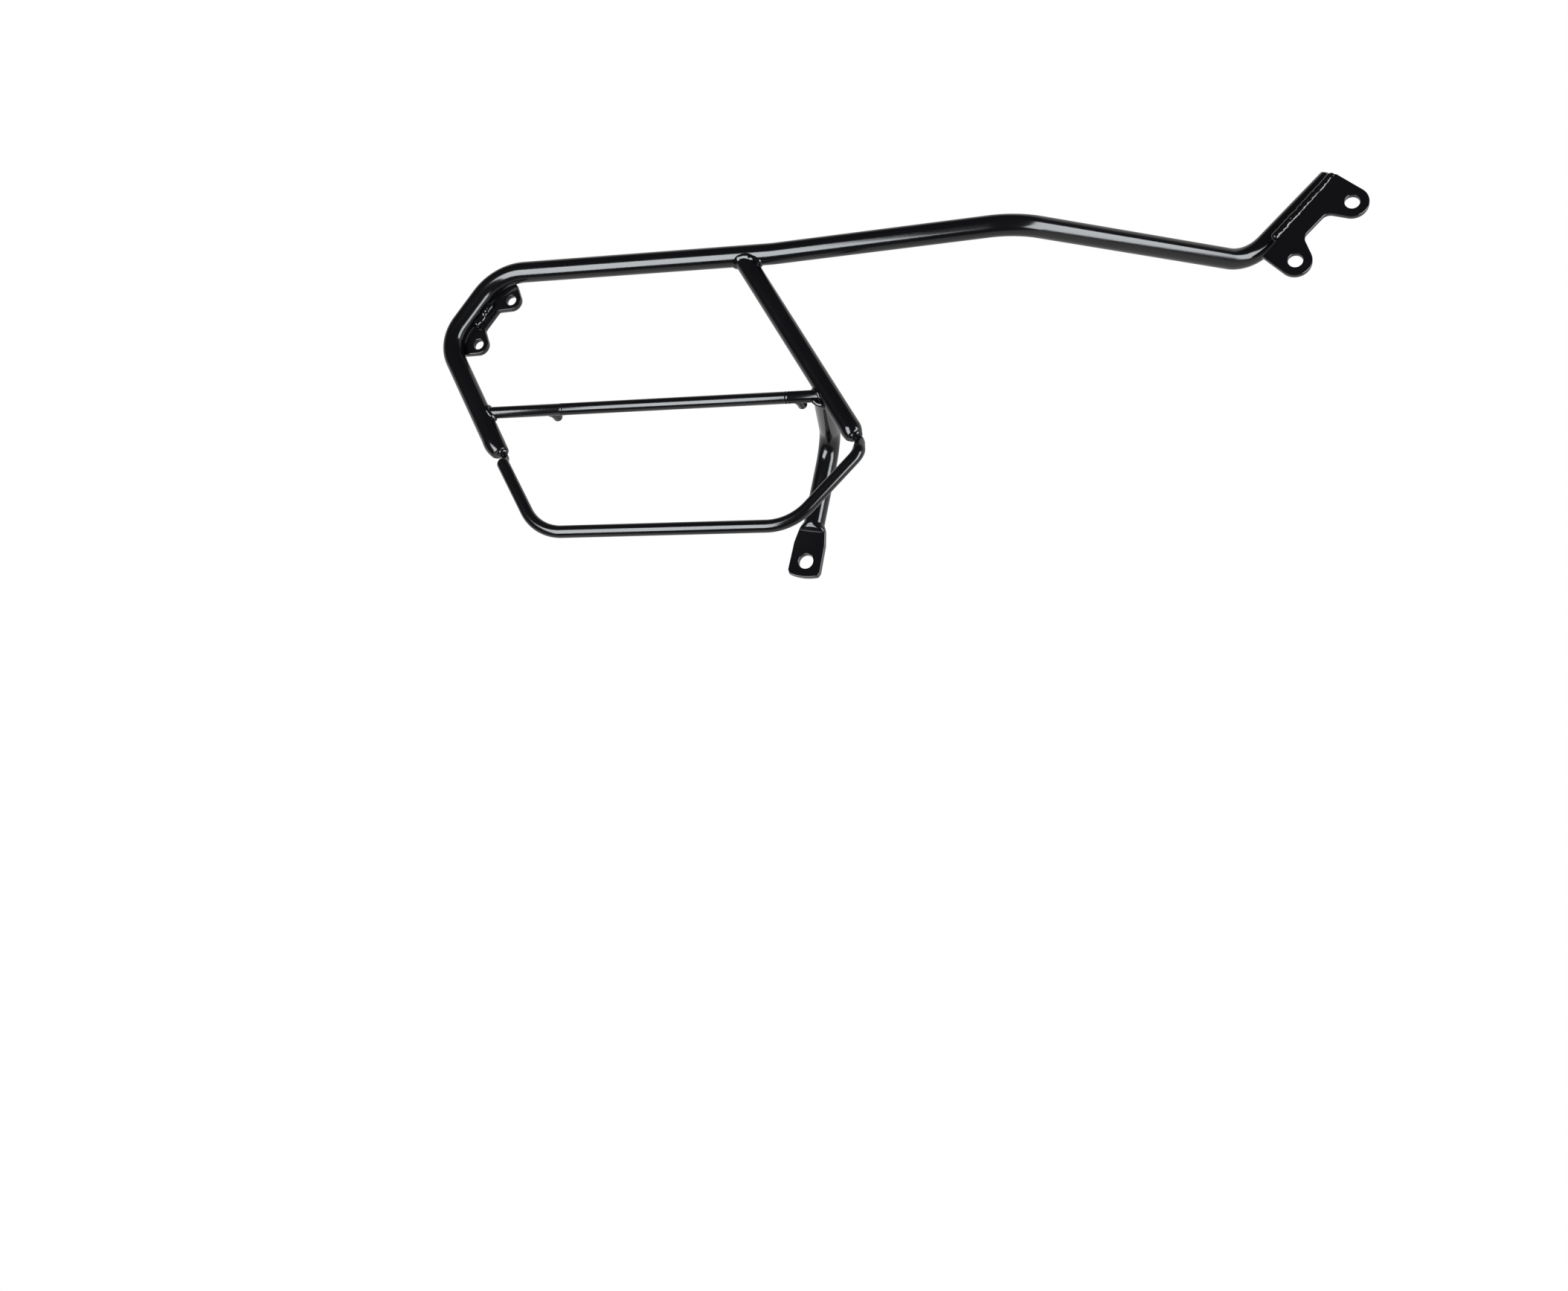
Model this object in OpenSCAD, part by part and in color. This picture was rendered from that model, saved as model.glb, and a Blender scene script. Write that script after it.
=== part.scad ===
// Side carrier of a pannier frame for a motorbike, right-hand side, bent and welded from steel tube.
// The origin is the centre of the front bracket's lower bolt hole, in the middle of the plate.
// +X points forward, +Y inward to the bike and +Z up, so the outer side faces -Y.

/* [Stock] */
// Outer diameter of the main rail and of the stay
tube_d = 18; // [17:0.5:20]
// Wall of the rail, the strut and the stay
tube_wall = 2; // [1.5:0.25:2.5]
// Outer diameter of the strut
strut_d = 17.4; // [16:0.1:18]
// Diameter of the cross rod
rod_d = 10.2; // [8:0.1:11]
// Diameter of the lower hoop's rod
hoop_d = 10.5; // [9.5:0.5:11.5]

/* [Main rail] */
// Distance from the front bracket outward to the plane in which the case hangs
side_offset = 139.5; // [125:0.5:155]
// Drop from the lower front hole to the rail's straight length
rail_drop = 33; // [25:1:45]
// Rise of that length from the kink back to the upper rear bend
rear_rise = 0.6; // [0:0.1:3]
// Distance back to the rail's slight upward kink
kink_back = 420; // [408:1:422]
// Distance back to the bend where the rail turns inward
shoulder_back = 215; // [205:1:230]
// Rise of the rail from the kink to that bend
shoulder_rise = 11; // [6:0.1:16]
// Distance back to the bend at the foot of the front leg
front_bend_back = 39.2; // [34:0.1:44]
// Rise of that bend above the lower front hole
front_bend_rise = 8.7; // [7:0.1:12]
// Slope of the front leg
front_leg_angle = 47.8; // [46:0.1:50]
// Length of the front leg, from its bend to its cut end
front_leg_length = 99; // [92:1:108]
// Distance back to the upper rear bend
rear_bend_back = 672; // [655:1:690]
// Slope of the rear diagonal
diagonal_angle = 57.1; // [54:0.1:60]
// Length of the rear diagonal, bend to bend
diagonal_length = 75.5; // [70:0.5:80]
// Slope of the rear leg
rear_leg_angle = 59.7; // [58:0.1:61]
// Length of the rear leg, from its bend to its swaged tip
rear_leg_length = 125.3; // [118:0.1:132]
// Bend radius at the kink
kink_r = 120; // [80:5:150]
// Bend radius where the rail turns inward
shoulder_r = 60; // [50:1:75]
// Bend radius at the foot of the front leg
front_bend_r = 44; // [34:1:50]
// Bend radius of the upper rear bend
rear_bend_r = 46; // [38:1:50]
// Bend radius of the lower rear bend
low_bend_r = 34; // [28:1:38]

/* [Strut and cross rod] */
// Distance back to where the strut's centreline meets the rail's
strut_back = 447; // [440:1:454]
// Slope of the strut
strut_angle = 57; // [55:0.5:59]
// Height of the strut's swaged tip above the rear leg's
strut_tip_rise = 2.5; // [0:0.1:5]
// Height of the cross rod above the rear leg's tip
rod_rise = 39; // [35:0.1:43]
// Distance of the rear peg from the rear leg's centreline
rear_peg_inset = 65.9; // [55:0.1:75]
// Distance of the front peg from the strut's centreline
front_peg_inset = 27.2; // [22:0.1:32]
// Reach of the pegs behind the cross rod's centreline
peg_reach = 17; // [13:0.5:20]
// Diameter of the pegs
peg_d = 8.2; // [6:0.1:9]

/* [Lower hoop] */
// How far the hoop lies outboard of the rail
hoop_out = 8; // [7:0.5:9]
// Depth of the hoop's lower rear bend below the rear leg's tip
hoop_rear_depth = 74.4; // [70:0.1:80]
// Depth of the hoop's lower front bend below the strut's tip
hoop_front_depth = 77.6; // [72:0.1:82]
// Slope of the hoop's rear side
hoop_rear_angle = 58.3; // [57:0.1:59.5]
// Slope of the hoop's front side
hoop_front_angle = 49; // [47:0.1:50]
// Bend radius of the lower rear bend
hoop_rear_r = 40; // [35:1:44]
// Bend radius of the lower front bend
hoop_front_r = 45; // [38:1:48]
// Diameter of the hoop's front end, where it enters the strut
spigot_d = 8; // [7:0.5:8.5]
// Diameter of the hoop's rear end, turned down to a thin neck
neck_d = 6; // [5:0.5:7]

/* [Stay] */
// Reach of the stay inward from the side plane
stay_reach = 95; // [85:1:105]
// Distance back to the stay's knee
knee_back = 385; // [378:1:390]
// Rise of the knee above the cross rod
knee_rise = 3; // [0:0.5:6]
// Backward lean of the stay below its knee
stay_lean = 7.4; // [5:0.2:10]
// Bend radius of the knee
knee_r = 25; // [22:1:32]
// Distance of the stay's root behind the strut's centreline
stay_root_back = 5; // [3:0.5:7]
// Length from the knee to the start of the flattened end
stay_length = 79; // [72:1:86]
// Length of the squeeze from round to flat
squeeze_length = 7.5; // [6:0.5:10]
// Length from the knee to the stay's bolt hole
stay_hole_at = 113.4; // [108:0.2:120]
// Width of the flattened end at its top
tab_top_width = 23.5; // [20:0.5:25]
// Width of the flattened end at its tip
tab_width = 28.5; // [26:0.5:32]
// Distance from the stay's bolt hole to the flattened end's tip
tab_tip = 14; // [12:0.5:16]
// Diameter of the stay's bolt hole
stay_hole_d = 13; // [11:0.1:14]

/* [Brackets] */
// Thickness of both bracket plates
plate_t = 5; // [4:0.5:6]
// Diameter of the two front bolt holes
front_hole_d = 12.6; // [11:0.1:14]
// Distance between the front holes
front_pitch = 69.4; // [67:0.2:72]
// Slope of the line through the front holes
front_pitch_angle = 47.8; // [46:0.2:49]
// Radius of the front bracket's ears
front_ear_r = 14; // [13:0.1:15]
// Diameter of the two rear bolt holes
rear_hole_d = 9; // [8:0.1:10]
// Distance between the rear holes
rear_pitch = 48.3; // [46:0.2:50]
// Distance of the rear holes from the diagonal's centreline
rear_hole_out = 24; // [22.5:0.1:25.5]
// Radius of the rear bracket's ears
rear_ear_r = 9; // [8.5:0.1:9.5]

/* [Welds] */
// Leg of the weld beads between tubes
bead = 3.4; // [2.5:0.1:4]

/* [Hidden] */
// Facets of round stock, of a swage, of the sweep of a bend and of the stay's crown
tube_facets = 72;
swage_facets = 48;
bend_facets = 144;
crown_facets = 180;
// Degrees in each facet of a plate's roundings
rounding_step = 4;
$fn = tube_facets;
paint = [0.09, 0.09, 0.1];
bare_weld = [0.14, 0.14, 0.15];
// Gap left in a coped or swaged joint
joint_gap = 0.06;
// Overrun of every cut past the surface that it leaves
overrun = 4;
// Lap and step between a straight length and its bend
seam_lap = 0.3;
seam_step = 0.03;
side_y = -side_offset;
rail_z = -rail_drop;
leg_y = (plate_t + tube_d) / 2 + joint_gap;

// A point of the side plane, given its distance back and its height
function side(back, height, inward = 0) = [-back, side_y + inward, height];
// A step in the side plane, downward and forward at a slope
function down(angle, length) = [cos(angle), 0, -sin(angle)] * length;
// A step in the side plane, upward and forward at a slope
function up(angle, length) = [cos(angle), 0, sin(angle)] * length;
function unit(v) = v / norm(v);
function turn(a, b, c) = acos(unit(b - a) * unit(c - b));
function setback(points, radii, i) =
    i == 0 || i == len(points) - 1 ? 0 : radii[i] * tan(turn(points[i - 1], points[i], points[i + 1]) / 2);

// Corners of the main rail's centreline, from the swaged tip of the rear leg to the front end
rear_bend = side(rear_bend_back, rail_z + rear_rise);
low_bend = rear_bend - up(diagonal_angle, diagonal_length);
leg_dir = down(rear_leg_angle, 1);
leg_tip = low_bend + leg_dir * rear_leg_length;
front_bend = [-front_bend_back, leg_y, front_bend_rise];
front_dir = up(front_leg_angle, 1);
front_end = front_bend + front_dir * front_leg_length;
swage_length = 17;
leg_full_end = leg_tip - leg_dir * swage_length;
rail_points = [leg_full_end, low_bend, rear_bend, side(kink_back, rail_z),
    side(shoulder_back, rail_z + shoulder_rise), front_bend, front_end];
rail_radii = [0, low_bend_r, rear_bend_r, kink_r, shoulder_r, front_bend_r, 0];

// Strut, from the rail's centreline to its swaged tip, which lies a little above the rear leg's
strut_top = side(strut_back, rail_z);
strut_dir = down(strut_angle, 1);
strut_length = (strut_top[2] - leg_tip[2] - strut_tip_rise) / sin(strut_angle);
strut_tip = strut_top + strut_dir * strut_length;
strut_swage_length = 9;
strut_full_end = strut_tip - strut_dir * strut_swage_length;

// Swaged tips: the end disc's diameter and its shift across the tube, and the same halfway
leg_tip_d = 11.4;
leg_tip_shift = 3.3;
leg_mid_d = 16.6;
leg_mid_shift = 0.7;
strut_tip_d = 13.6;
strut_tip_shift = -0.6;
strut_mid_d = 16.8;
strut_mid_shift = -0.2;
// Normals of the rear leg and the strut in the side plane, pointing forward
leg_side = [sin(rear_leg_angle), 0, cos(rear_leg_angle)];
strut_side = [sin(strut_angle), 0, cos(strut_angle)];
leg_tip_centre = leg_tip + leg_side * leg_tip_shift;
strut_tip_centre = strut_tip + strut_side * strut_tip_shift;

// Cross rod, from the rear leg's centreline to the strut's, and its pegs
rod_z = leg_tip[2] + rod_rise;
rod_rear = low_bend + leg_dir * (low_bend[2] - rod_z) / sin(rear_leg_angle);
rod_front = strut_top + strut_dir * (strut_top[2] - rod_z) / sin(strut_angle);
rear_peg_back = -rod_rear[0] - rear_peg_inset;
front_peg_back = -rod_front[0] + front_peg_inset;

// Corners of the hoop's centreline, from the rear leg's tip to the strut's
spigot_depth = 9;
neck_inward = 1;
neck_length = 6.4;
neck_side = 1.2;
// Bend radii of the two necks, as shares of their diameters
hoop_neck_share = 0.54;
thin_neck_share = 0.6;
hoop_neck_r = hoop_d * hoop_neck_share;
thin_neck_r = neck_d * thin_neck_share;
hoop_elbow_r = 10;
hoop_neck_rear = leg_tip_centre + leg_dir * neck_length + [0, neck_inward, 0];
hoop_neck_front = strut_tip_centre + strut_dir * neck_length + strut_side * neck_side + [0, neck_inward, 0];
// Each end of the hoop turns outward at its neck and down again at the corner beside it
rear_corner_step = [2.7, 0, -8.4];
front_corner_step = [1.6, 0, -13.6];
hoop_high_rear = hoop_neck_rear + rear_corner_step - [0, hoop_out + neck_inward, 0];
hoop_high_front = hoop_neck_front + front_corner_step - [0, hoop_out + neck_inward, 0];
hoop_rear_length = (hoop_high_rear[2] - leg_tip[2] + hoop_rear_depth) / sin(hoop_rear_angle);
hoop_front_length = (hoop_high_front[2] - strut_tip[2] + hoop_front_depth) / sin(hoop_front_angle);
hoop_low_rear = hoop_high_rear + down(hoop_rear_angle, hoop_rear_length);
hoop_low_front = hoop_high_front - up(hoop_front_angle, hoop_front_length);
rear_spigot_end = hoop_neck_rear - leg_dir * (neck_length + spigot_depth);
front_spigot_end = hoop_neck_front - strut_dir * (neck_length + spigot_depth);
// The full rod runs from its round rear end to a shoulder just short of the front neck's bend
front_neck_turn = turn(front_spigot_end, hoop_neck_front, hoop_high_front);
shoulder_lead = 0.3;
neck_bead_leg = 1.6;
slim_bead = bead * 2 / 3;
rod_bead_slope = 35;
front_shoulder = hoop_neck_front - strut_dir * (hoop_neck_r * tan(front_neck_turn / 2) + shoulder_lead);
hoop_points = [hoop_high_rear, hoop_low_rear, hoop_low_front, hoop_high_front, hoop_neck_front, front_shoulder];
hoop_radii = [0, hoop_rear_r, hoop_front_r, hoop_elbow_r, hoop_neck_r, 0];
neck_points = [rear_spigot_end, hoop_neck_rear, hoop_high_rear];
neck_radii = [0, thin_neck_r, 0];

// Stay, from its root behind the strut over the knee to its flattened end
stay_root = rod_front - [stay_root_back, 0, 0];
knee = side(knee_back, rod_z + knee_rise, stay_reach);
stay_dir = [-sin(stay_lean), 0, -cos(stay_lean)];
stay_side = [cos(stay_lean), 0, -sin(stay_lean)];
stay_full_end = knee + stay_dir * stay_length;
stay_points = [stay_root, knee, stay_full_end];
stay_radii = [0, knee_r, 0];
squeeze_gap = 1.5;
tab_t = 2 * tube_wall + squeeze_gap;
tab_end_at = stay_hole_at + tab_tip;
tab_crown_r = 42;

// Front bracket, in lengths along the line of its holes and across it toward the tube
front_waist_low = 20.5;
front_waist_high = 20.4;
front_waist_depth = 9.7;
front_waist = [[front_waist_low, front_waist_depth], [front_pitch - front_waist_high, front_waist_depth]];
front_waist_r = 8;
front_foot_reach = 13.8;
front_foot_depth = 24;
front_head_reach = 11.9;
front_head_depth = 29.5;
front_corners = [[-front_foot_reach, front_foot_depth], [front_pitch + front_head_reach, front_head_depth]];
front_bead_start = 4;
front_bead_start_depth = 28.4;
front_bead_reach = 9.1;
front_bead_end_depth = 31.6;
front_bead_line = [[front_bead_start, front_bead_start_depth],
    [front_pitch + front_bead_reach, front_bead_end_depth]];
front_bead_d = 8.4;
front_bead_y = 0.8;

// Rear bracket, in the same lengths, with its plate against the back half of the diagonal
rear_waist_in = 14;
rear_waist_depth = 4.2;
rear_waist = [[rear_waist_in, rear_waist_depth], [rear_pitch - rear_waist_in, rear_waist_depth]];
rear_waist_r = 3;
rear_corner_reach = 14.3;
rear_corner_depth = 5;
rear_corners = [[-rear_corner_reach, rear_corner_depth], [rear_pitch + rear_corner_reach, rear_corner_depth]];
rear_side_reach = 15.5;
rear_side_depth = 11;
rear_root_reach = 6;
rear_root_inset = 6;
rear_roots = [[rear_pitch + rear_side_reach, rear_side_depth],
    [rear_pitch + rear_root_reach, rear_hole_out - rear_root_inset],
    [-rear_root_reach, rear_hole_out - rear_root_inset], [-rear_side_reach, rear_side_depth]];
rear_plate_in = 4;
rear_plate_y = side_y + rear_plate_in + plate_t / 2;
diagonal_dir = up(diagonal_angle, 1);
diagonal_side = [sin(diagonal_angle), 0, -cos(diagonal_angle)];
rear_hole_start = 13.9;
rear_hole_low = low_bend + diagonal_dir * rear_hole_start + diagonal_side * rear_hole_out
    + [0, rear_plate_y - side_y, 0];
rear_bead_length = 26;
rear_bead_d = 9;
rear_bead_out = 11.6;
rear_bead_y = 2.6;

// Domed cap of the front leg
cap_dome = 4;
cap_plug = 6;

// A direction square to w, from Y, or from X where w lies nearly along Y
near_y_share = 0.9;
function across(w) = unit(cross(abs(w[1]) < near_y_share ? [0, 1, 0] : [1, 0, 0], w));
// The direction that a bent line's length i keeps after its bends, so that the seams of all lengths line up
function carried(points, i) =
    let(w = unit(points[i + 1] - points[i]))
    i == 0 ? across(w) :
    let(v = unit(points[i] - points[i - 1]), u = carried(points, i - 1))
    u - (v + w) * (u * w) / (1 + v * w);

module along(p, q, seam = [0, 0, 0]) {
    w = unit(q - p);
    u = norm(seam) > 0 ? seam : across(w);
    v = cross(w, u);
    multmatrix([[u[0], v[0], w[0], p[0]], [u[1], v[1], w[1], p[1]], [u[2], v[2], w[2], p[2]], [0, 0, 0, 1]])
        children();
}

module bar(p, q, d, seam = [0, 0, 0]) {
    along(p, q, seam) cylinder(d = d, h = norm(q - p));
}

// Bent length of round stock around corner b
module bend(a, b, c, r, d, seam) {
    t = turn(a, b, c);
    y = unit(b - a);
    x = (y * cos(t) - unit(c - b)) / sin(t);
    z = cross(x, y);
    o = b - y * r * tan(t / 2) - x * r;
    multmatrix([[x[0], y[0], z[0], o[0]], [x[1], y[1], z[1], o[1]], [x[2], y[2], z[2], o[2]], [0, 0, 0, 1]])
        rotate_extrude(angle = t, $fn = bend_facets)
            translate([r, 0])
                rotate(atan2(seam * z, seam * x))
                    circle(d = d, $fn = tube_facets);
}

// Round stock along a line of corners, each with its bend radius
// The straight lengths lap a little into the bends, which are thicker by the seam's step
module run(points, radii, d) {
    last = len(points) - 1;
    for (i = [0 : last - 1]) {
        w = unit(points[i + 1] - points[i]);
        from = setback(points, radii, i) - (i == 0 ? 0 : seam_lap);
        to = setback(points, radii, i + 1) - (i == last - 1 ? 0 : seam_lap);
        bar(points[i] + w * from, points[i + 1] - w * to, d, carried(points, i));
    }
    for (i = [1 : last - 1])
        bend(points[i - 1], points[i], points[i + 1], radii[i], d + 2 * seam_step, carried(points, i - 1));
}

// Round tube along a line of corners, open at both ends
module tube_run(points, radii, d) {
    last = len(points) - 1;
    head = points[0] - unit(points[1] - points[0]) * overrun;
    tail = points[last] + unit(points[last] - points[last - 1]) * overrun;
    middle = [for (i = [1 : last - 1]) points[i]];
    difference() {
        run(points, radii, d);
        run(concat([head], middle, [tail]), radii, d - 2 * tube_wall);
    }
}

// Swaged tip that closes a tube, from its full end to its tip
module swage(full_end, dir, side_dir, d, length, mid_d, mid_shift, tip_d, tip_shift) {
    inside = d - 2 * joint_gap;
    disc = tube_wall / 4;
    hull() {
        bar(full_end - dir * tube_wall, full_end, inside, $fn = swage_facets);
        bar(full_end + dir * length / 2 + side_dir * mid_shift,
            full_end + dir * (length / 2 + disc) + side_dir * mid_shift, mid_d, $fn = swage_facets);
        bar(full_end + dir * (length - disc) + side_dir * tip_shift,
            full_end + dir * length + side_dir * tip_shift, tip_d, $fn = swage_facets);
    }
}

// The outer forms of the main rail, the strut and the stay, grown by an allowance, for copes and beads
module rail_form(grow = 0) {
    run(rail_points, rail_radii, tube_d + 2 * grow);
}

// The rail's long straight length, which carries the strut
module top_form(grow = 0) {
    bar(rail_points[2], rail_points[3], tube_d + 2 * grow);
}

module leg_form(grow = 0) {
    bar(low_bend, leg_full_end, tube_d + 2 * grow);
}

module strut_form(grow = 0) {
    bar(strut_top, strut_full_end, strut_d + 2 * grow);
}

module stay_form(grow = 0) {
    run(stay_points, stay_radii, tube_d + 2 * grow);
}

module rod_form(grow = 0) {
    bar(rod_rear, rod_front, rod_d + 2 * grow);
}

module peg_form(back, grow = 0) {
    bar(side(back, rod_z), side(back, rod_z, peg_reach), peg_d + 2 * grow);
}

// The hoop's straight ends inside the rear leg and the strut, grown by an allowance
module spigots(grow = 0) {
    bar(rear_spigot_end - leg_dir * grow, hoop_neck_rear - leg_dir * thin_neck_r, neck_d + 2 * grow);
    bar(front_spigot_end - strut_dir * grow, front_shoulder + strut_dir * shoulder_lead, spigot_d + 2 * grow);
}

module main_rail() {
    color(paint)
        difference() {
            union() {
                tube_run(rail_points, rail_radii, tube_d);
                swage(leg_full_end, leg_dir, leg_side, tube_d, swage_length, leg_mid_d, leg_mid_shift,
                    leg_tip_d, leg_tip_shift);
            }
            spigots(joint_gap);
        }
}

module strut() {
    color(paint)
        difference() {
            union() {
                difference() {
                    bar(strut_top, strut_full_end, strut_d);
                    bar(strut_top - strut_dir * overrun, strut_full_end + strut_dir * overrun,
                        strut_d - 2 * tube_wall);
                }
                swage(strut_full_end, strut_dir, strut_side, strut_d, strut_swage_length, strut_mid_d,
                    strut_mid_shift, strut_tip_d, strut_tip_shift);
            }
            top_form(joint_gap);
            spigots(joint_gap);
        }
}

// Cross rod with the fine turned grooves beside its pegs
module cross_rod() {
    groove_from_peg = [10.5, -8.5];
    groove_w = 0.8;
    groove_depth = 0.3;
    color(paint)
        difference() {
            rod_form();
            leg_form(joint_gap);
            strut_form(joint_gap);
            for (back = [rear_peg_back - groove_from_peg[0], front_peg_back - groove_from_peg[1]])
                difference() {
                    bar(side(back + groove_w / 2, rod_z), side(back - groove_w / 2, rod_z), rod_d + overrun);
                    bar(side(back + overrun, rod_z), side(back - overrun, rod_z), rod_d - 2 * groove_depth);
                }
        }
}

// Bent rod with a round rear end on a thin neck, and a turned front end
module hoop() {
    color(paint) {
        run(hoop_points, hoop_radii, hoop_d);
        translate(hoop_high_rear)
            sphere(d = hoop_d + 2 * seam_step);
        run(neck_points, neck_radii, neck_d);
        bar(front_spigot_end, front_shoulder + strut_dir * shoulder_lead, spigot_d);
    }
}

// A drawing in the side plane, turned up by an angle about point p and given its thickness
module plate(p, angle, t) {
    translate(p)
        rotate([90, 0, 0])
            rotate(angle)
                linear_extrude(height = t, center = true)
                    children();
}

// Tube squeezed flat at its lower end and drilled
module stay() {
    shoulder_at = stay_length + squeeze_length;
    color(paint)
        difference() {
            union() {
                tube_run(stay_points, stay_radii, tube_d);
                hull() {
                    bar(stay_full_end - stay_dir * tube_wall, stay_full_end, tube_d - 2 * joint_gap,
                        $fn = swage_facets);
                    plate(knee, -stay_lean, tab_t - 2 * joint_gap)
                        translate([0, -shoulder_at - tube_wall / 2])
                            square([tab_top_width - 2 * joint_gap, tube_wall], center = true);
                }
                plate(knee, -stay_lean, tab_t) tab_outline(shoulder_at);
            }
            strut_form(joint_gap);
            rod_form(joint_gap);
            plate(knee, -stay_lean, tube_d)
                translate([0, -stay_hole_at])
                    circle(d = stay_hole_d);
        }
}

// Flattened end, flared below its shoulders and crowned at its tip
module tab_outline(shoulder_at) {
    flare = 11;
    flare_share = 0.8;
    flare_width = tab_top_width + (tab_width - tab_top_width) * flare_share;
    top = -shoulder_at;
    tip = -tab_end_at;
    intersection() {
        polygon([[-tab_top_width / 2, top], [-flare_width / 2, top - flare], [-tab_width / 2, tip - overrun],
            [tab_width / 2, tip - overrun], [flare_width / 2, top - flare], [tab_top_width / 2, top]]);
        translate([0, tip + tab_crown_r])
            circle(r = tab_crown_r, $fn = crown_facets);
    }
}

// Point where a line from p touches a circle of radius r about c, on side s
function touch(p, c, r, s) =
    let(a = atan2(p[1] - c[1], p[0] - c[0]) + s * acos(r / norm(p - c))) c + r * [cos(a), sin(a)];
function heading(v) = atan2(v[1], v[0]);
// Points that round the corner at w, between its edges toward p and q
function rounded(w, p, q, r) =
    let(to_p = unit(p - w), to_q = unit(q - w), half = acos(to_p * to_q) / 2)
    let(centre = w + unit(to_p + to_q) * r / sin(half))
    let(start = heading(w + to_p * r / tan(half) - centre), end = heading(w + to_q * r / tan(half) - centre))
    let(sweep = ((end - start) % 360 + 540) % 360 - 180, steps = ceil(abs(sweep) / rounding_step))
    [for (i = [0 : steps]) centre + r * [cos(start + sweep * i / steps), sin(start + sweep * i / steps)]];

// Bracket plate with two drilled ears, a waist between them and its edge toward the tube
module eared_plate(pitch, ear_r, hole_d, waist, waist_r, corners, roots) {
    low = [0, 0];
    high = [pitch, 0];
    low_inner = touch(waist[0], low, ear_r, -1);
    high_inner = touch(waist[1], high, ear_r, 1);
    low_outer = touch(corners[0], low, ear_r, 1);
    high_outer = touch(corners[1], high, ear_r, -1);
    difference() {
        union() {
            polygon(concat([low_outer, low_inner], rounded(waist[0], low_inner, waist[1], waist_r),
                rounded(waist[1], waist[0], high_inner, waist_r), [high_inner, high_outer, corners[1]], roots,
                [corners[0]]));
            for (c = [low, high])
                translate(c)
                    circle(r = ear_r + seam_step);
        }
        for (c = [low, high])
            translate(c)
                circle(d = hole_d);
    }
}

module front_plate_form() {
    plate([0, 0, 0], front_pitch_angle, plate_t)
        eared_plate(front_pitch, front_ear_r, front_hole_d, front_waist, front_waist_r, front_corners, []);
}

module rear_plate_form() {
    plate(rear_hole_low, diagonal_angle, plate_t)
        eared_plate(rear_pitch, rear_ear_r, rear_hole_d, rear_waist, rear_waist_r, rear_corners, rear_roots);
}

module front_bracket() {
    color(paint) front_plate_form();
}

// Rear bracket, its inner edge coped to the back of the rail
module rear_bracket() {
    color(paint)
        difference() {
            rear_plate_form();
            rail_form(joint_gap);
        }
}

// Domed cap with a plug inside the front leg
module front_end_cap() {
    r = tube_d / 2;
    dome_r = (r * r + cap_dome * cap_dome) / (2 * cap_dome);
    color(paint)
        along(front_end, front_end + front_dir) {
            intersection() {
                translate([0, 0, cap_dome - dome_r])
                    sphere(r = dome_r);
                cylinder(r = r, h = 2 * cap_dome);
            }
            translate([0, 0, -cap_plug])
                cylinder(r = r - tube_wall - joint_gap, h = cap_plug + cap_dome / 2);
        }
}

// Round peg with a bevelled end, standing on the back of the cross rod
module peg(back) {
    bevel = peg_d / 5;
    color(paint)
        difference() {
            along(side(back, rod_z), side(back, rod_z, peg_reach)) {
                cylinder(d = peg_d, h = peg_reach - bevel);
                translate([0, 0, peg_reach - bevel])
                    cylinder(d1 = peg_d, d2 = peg_d - bevel, h = bevel);
            }
            rod_form(joint_gap);
        }
}

module peg_rear() {
    peg(rear_peg_back);
}

module peg_front() {
    peg(front_peg_back);
}

module weld_strut_top() {
    color(bare_weld)
        difference() {
            intersection() {
                bar(strut_top + strut_dir * tube_d / 4, strut_full_end, strut_d + 2 * bead);
                top_form(bead);
            }
            top_form();
            strut_form();
        }
}

// Sloping form around the cross rod's rear end, widest at its root on the tube
module rod_bead_form() {
    reach = tube_d / 2 + bead;
    along(rod_rear, rod_front)
        cylinder(d1 = rod_d + 2 * reach * tan(rod_bead_slope), d2 = rod_d, h = reach);
}

module weld_rod_rear() {
    color(bare_weld)
        difference() {
            intersection() {
                rod_bead_form();
                leg_form(bead);
            }
            leg_form();
            rod_form();
        }
}

module weld_rod_front() {
    color(bare_weld)
        difference() {
            intersection() {
                bar(rod_rear, rod_front, rod_d + 2 * slim_bead);
                strut_form(slim_bead);
            }
            strut_form();
            rod_form();
            stay_form();
        }
}

module weld_stay() {
    stay_root_end = stay_root + unit(knee - stay_root) * strut_d * 2;
    color(bare_weld)
        difference() {
            intersection() {
                bar(stay_root, stay_root_end, tube_d + 2 * bead);
                strut_form(bead);
            }
            strut_form();
            bar(stay_root, stay_root_end, tube_d);
            bar(rod_rear, rod_front, rod_d + 2 * bead);
        }
}

// Point of the front plate's drawing, at depth y
function front_spot(p, y) = up(front_pitch_angle, p[0])
    + [-sin(front_pitch_angle), 0, cos(front_pitch_angle)] * p[1] + [0, y, 0];

// Long bead along the front plate's edge on the tube
module weld_front_bracket() {
    a = front_spot(front_bead_line[0], front_bead_y);
    b = front_spot(front_bead_line[1], front_bead_y);
    color(bare_weld)
        difference() {
            bar(a, b, front_bead_d);
            front_plate_form();
            bar(front_bend, front_end, tube_d);
        }
}

// Short bead in the corner between the diagonal and the rear plate
module weld_rear_bracket() {
    start = rear_hole_start + (rear_pitch - rear_bead_length) / 2;
    a = low_bend + diagonal_dir * start + diagonal_side * rear_bead_out + [0, rear_bead_y, 0];
    color(bare_weld)
        difference() {
            bar(a, a + diagonal_dir * rear_bead_length, rear_bead_d);
            rear_plate_form();
            bar(low_bend, rear_bend, tube_d);
        }
}

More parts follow.
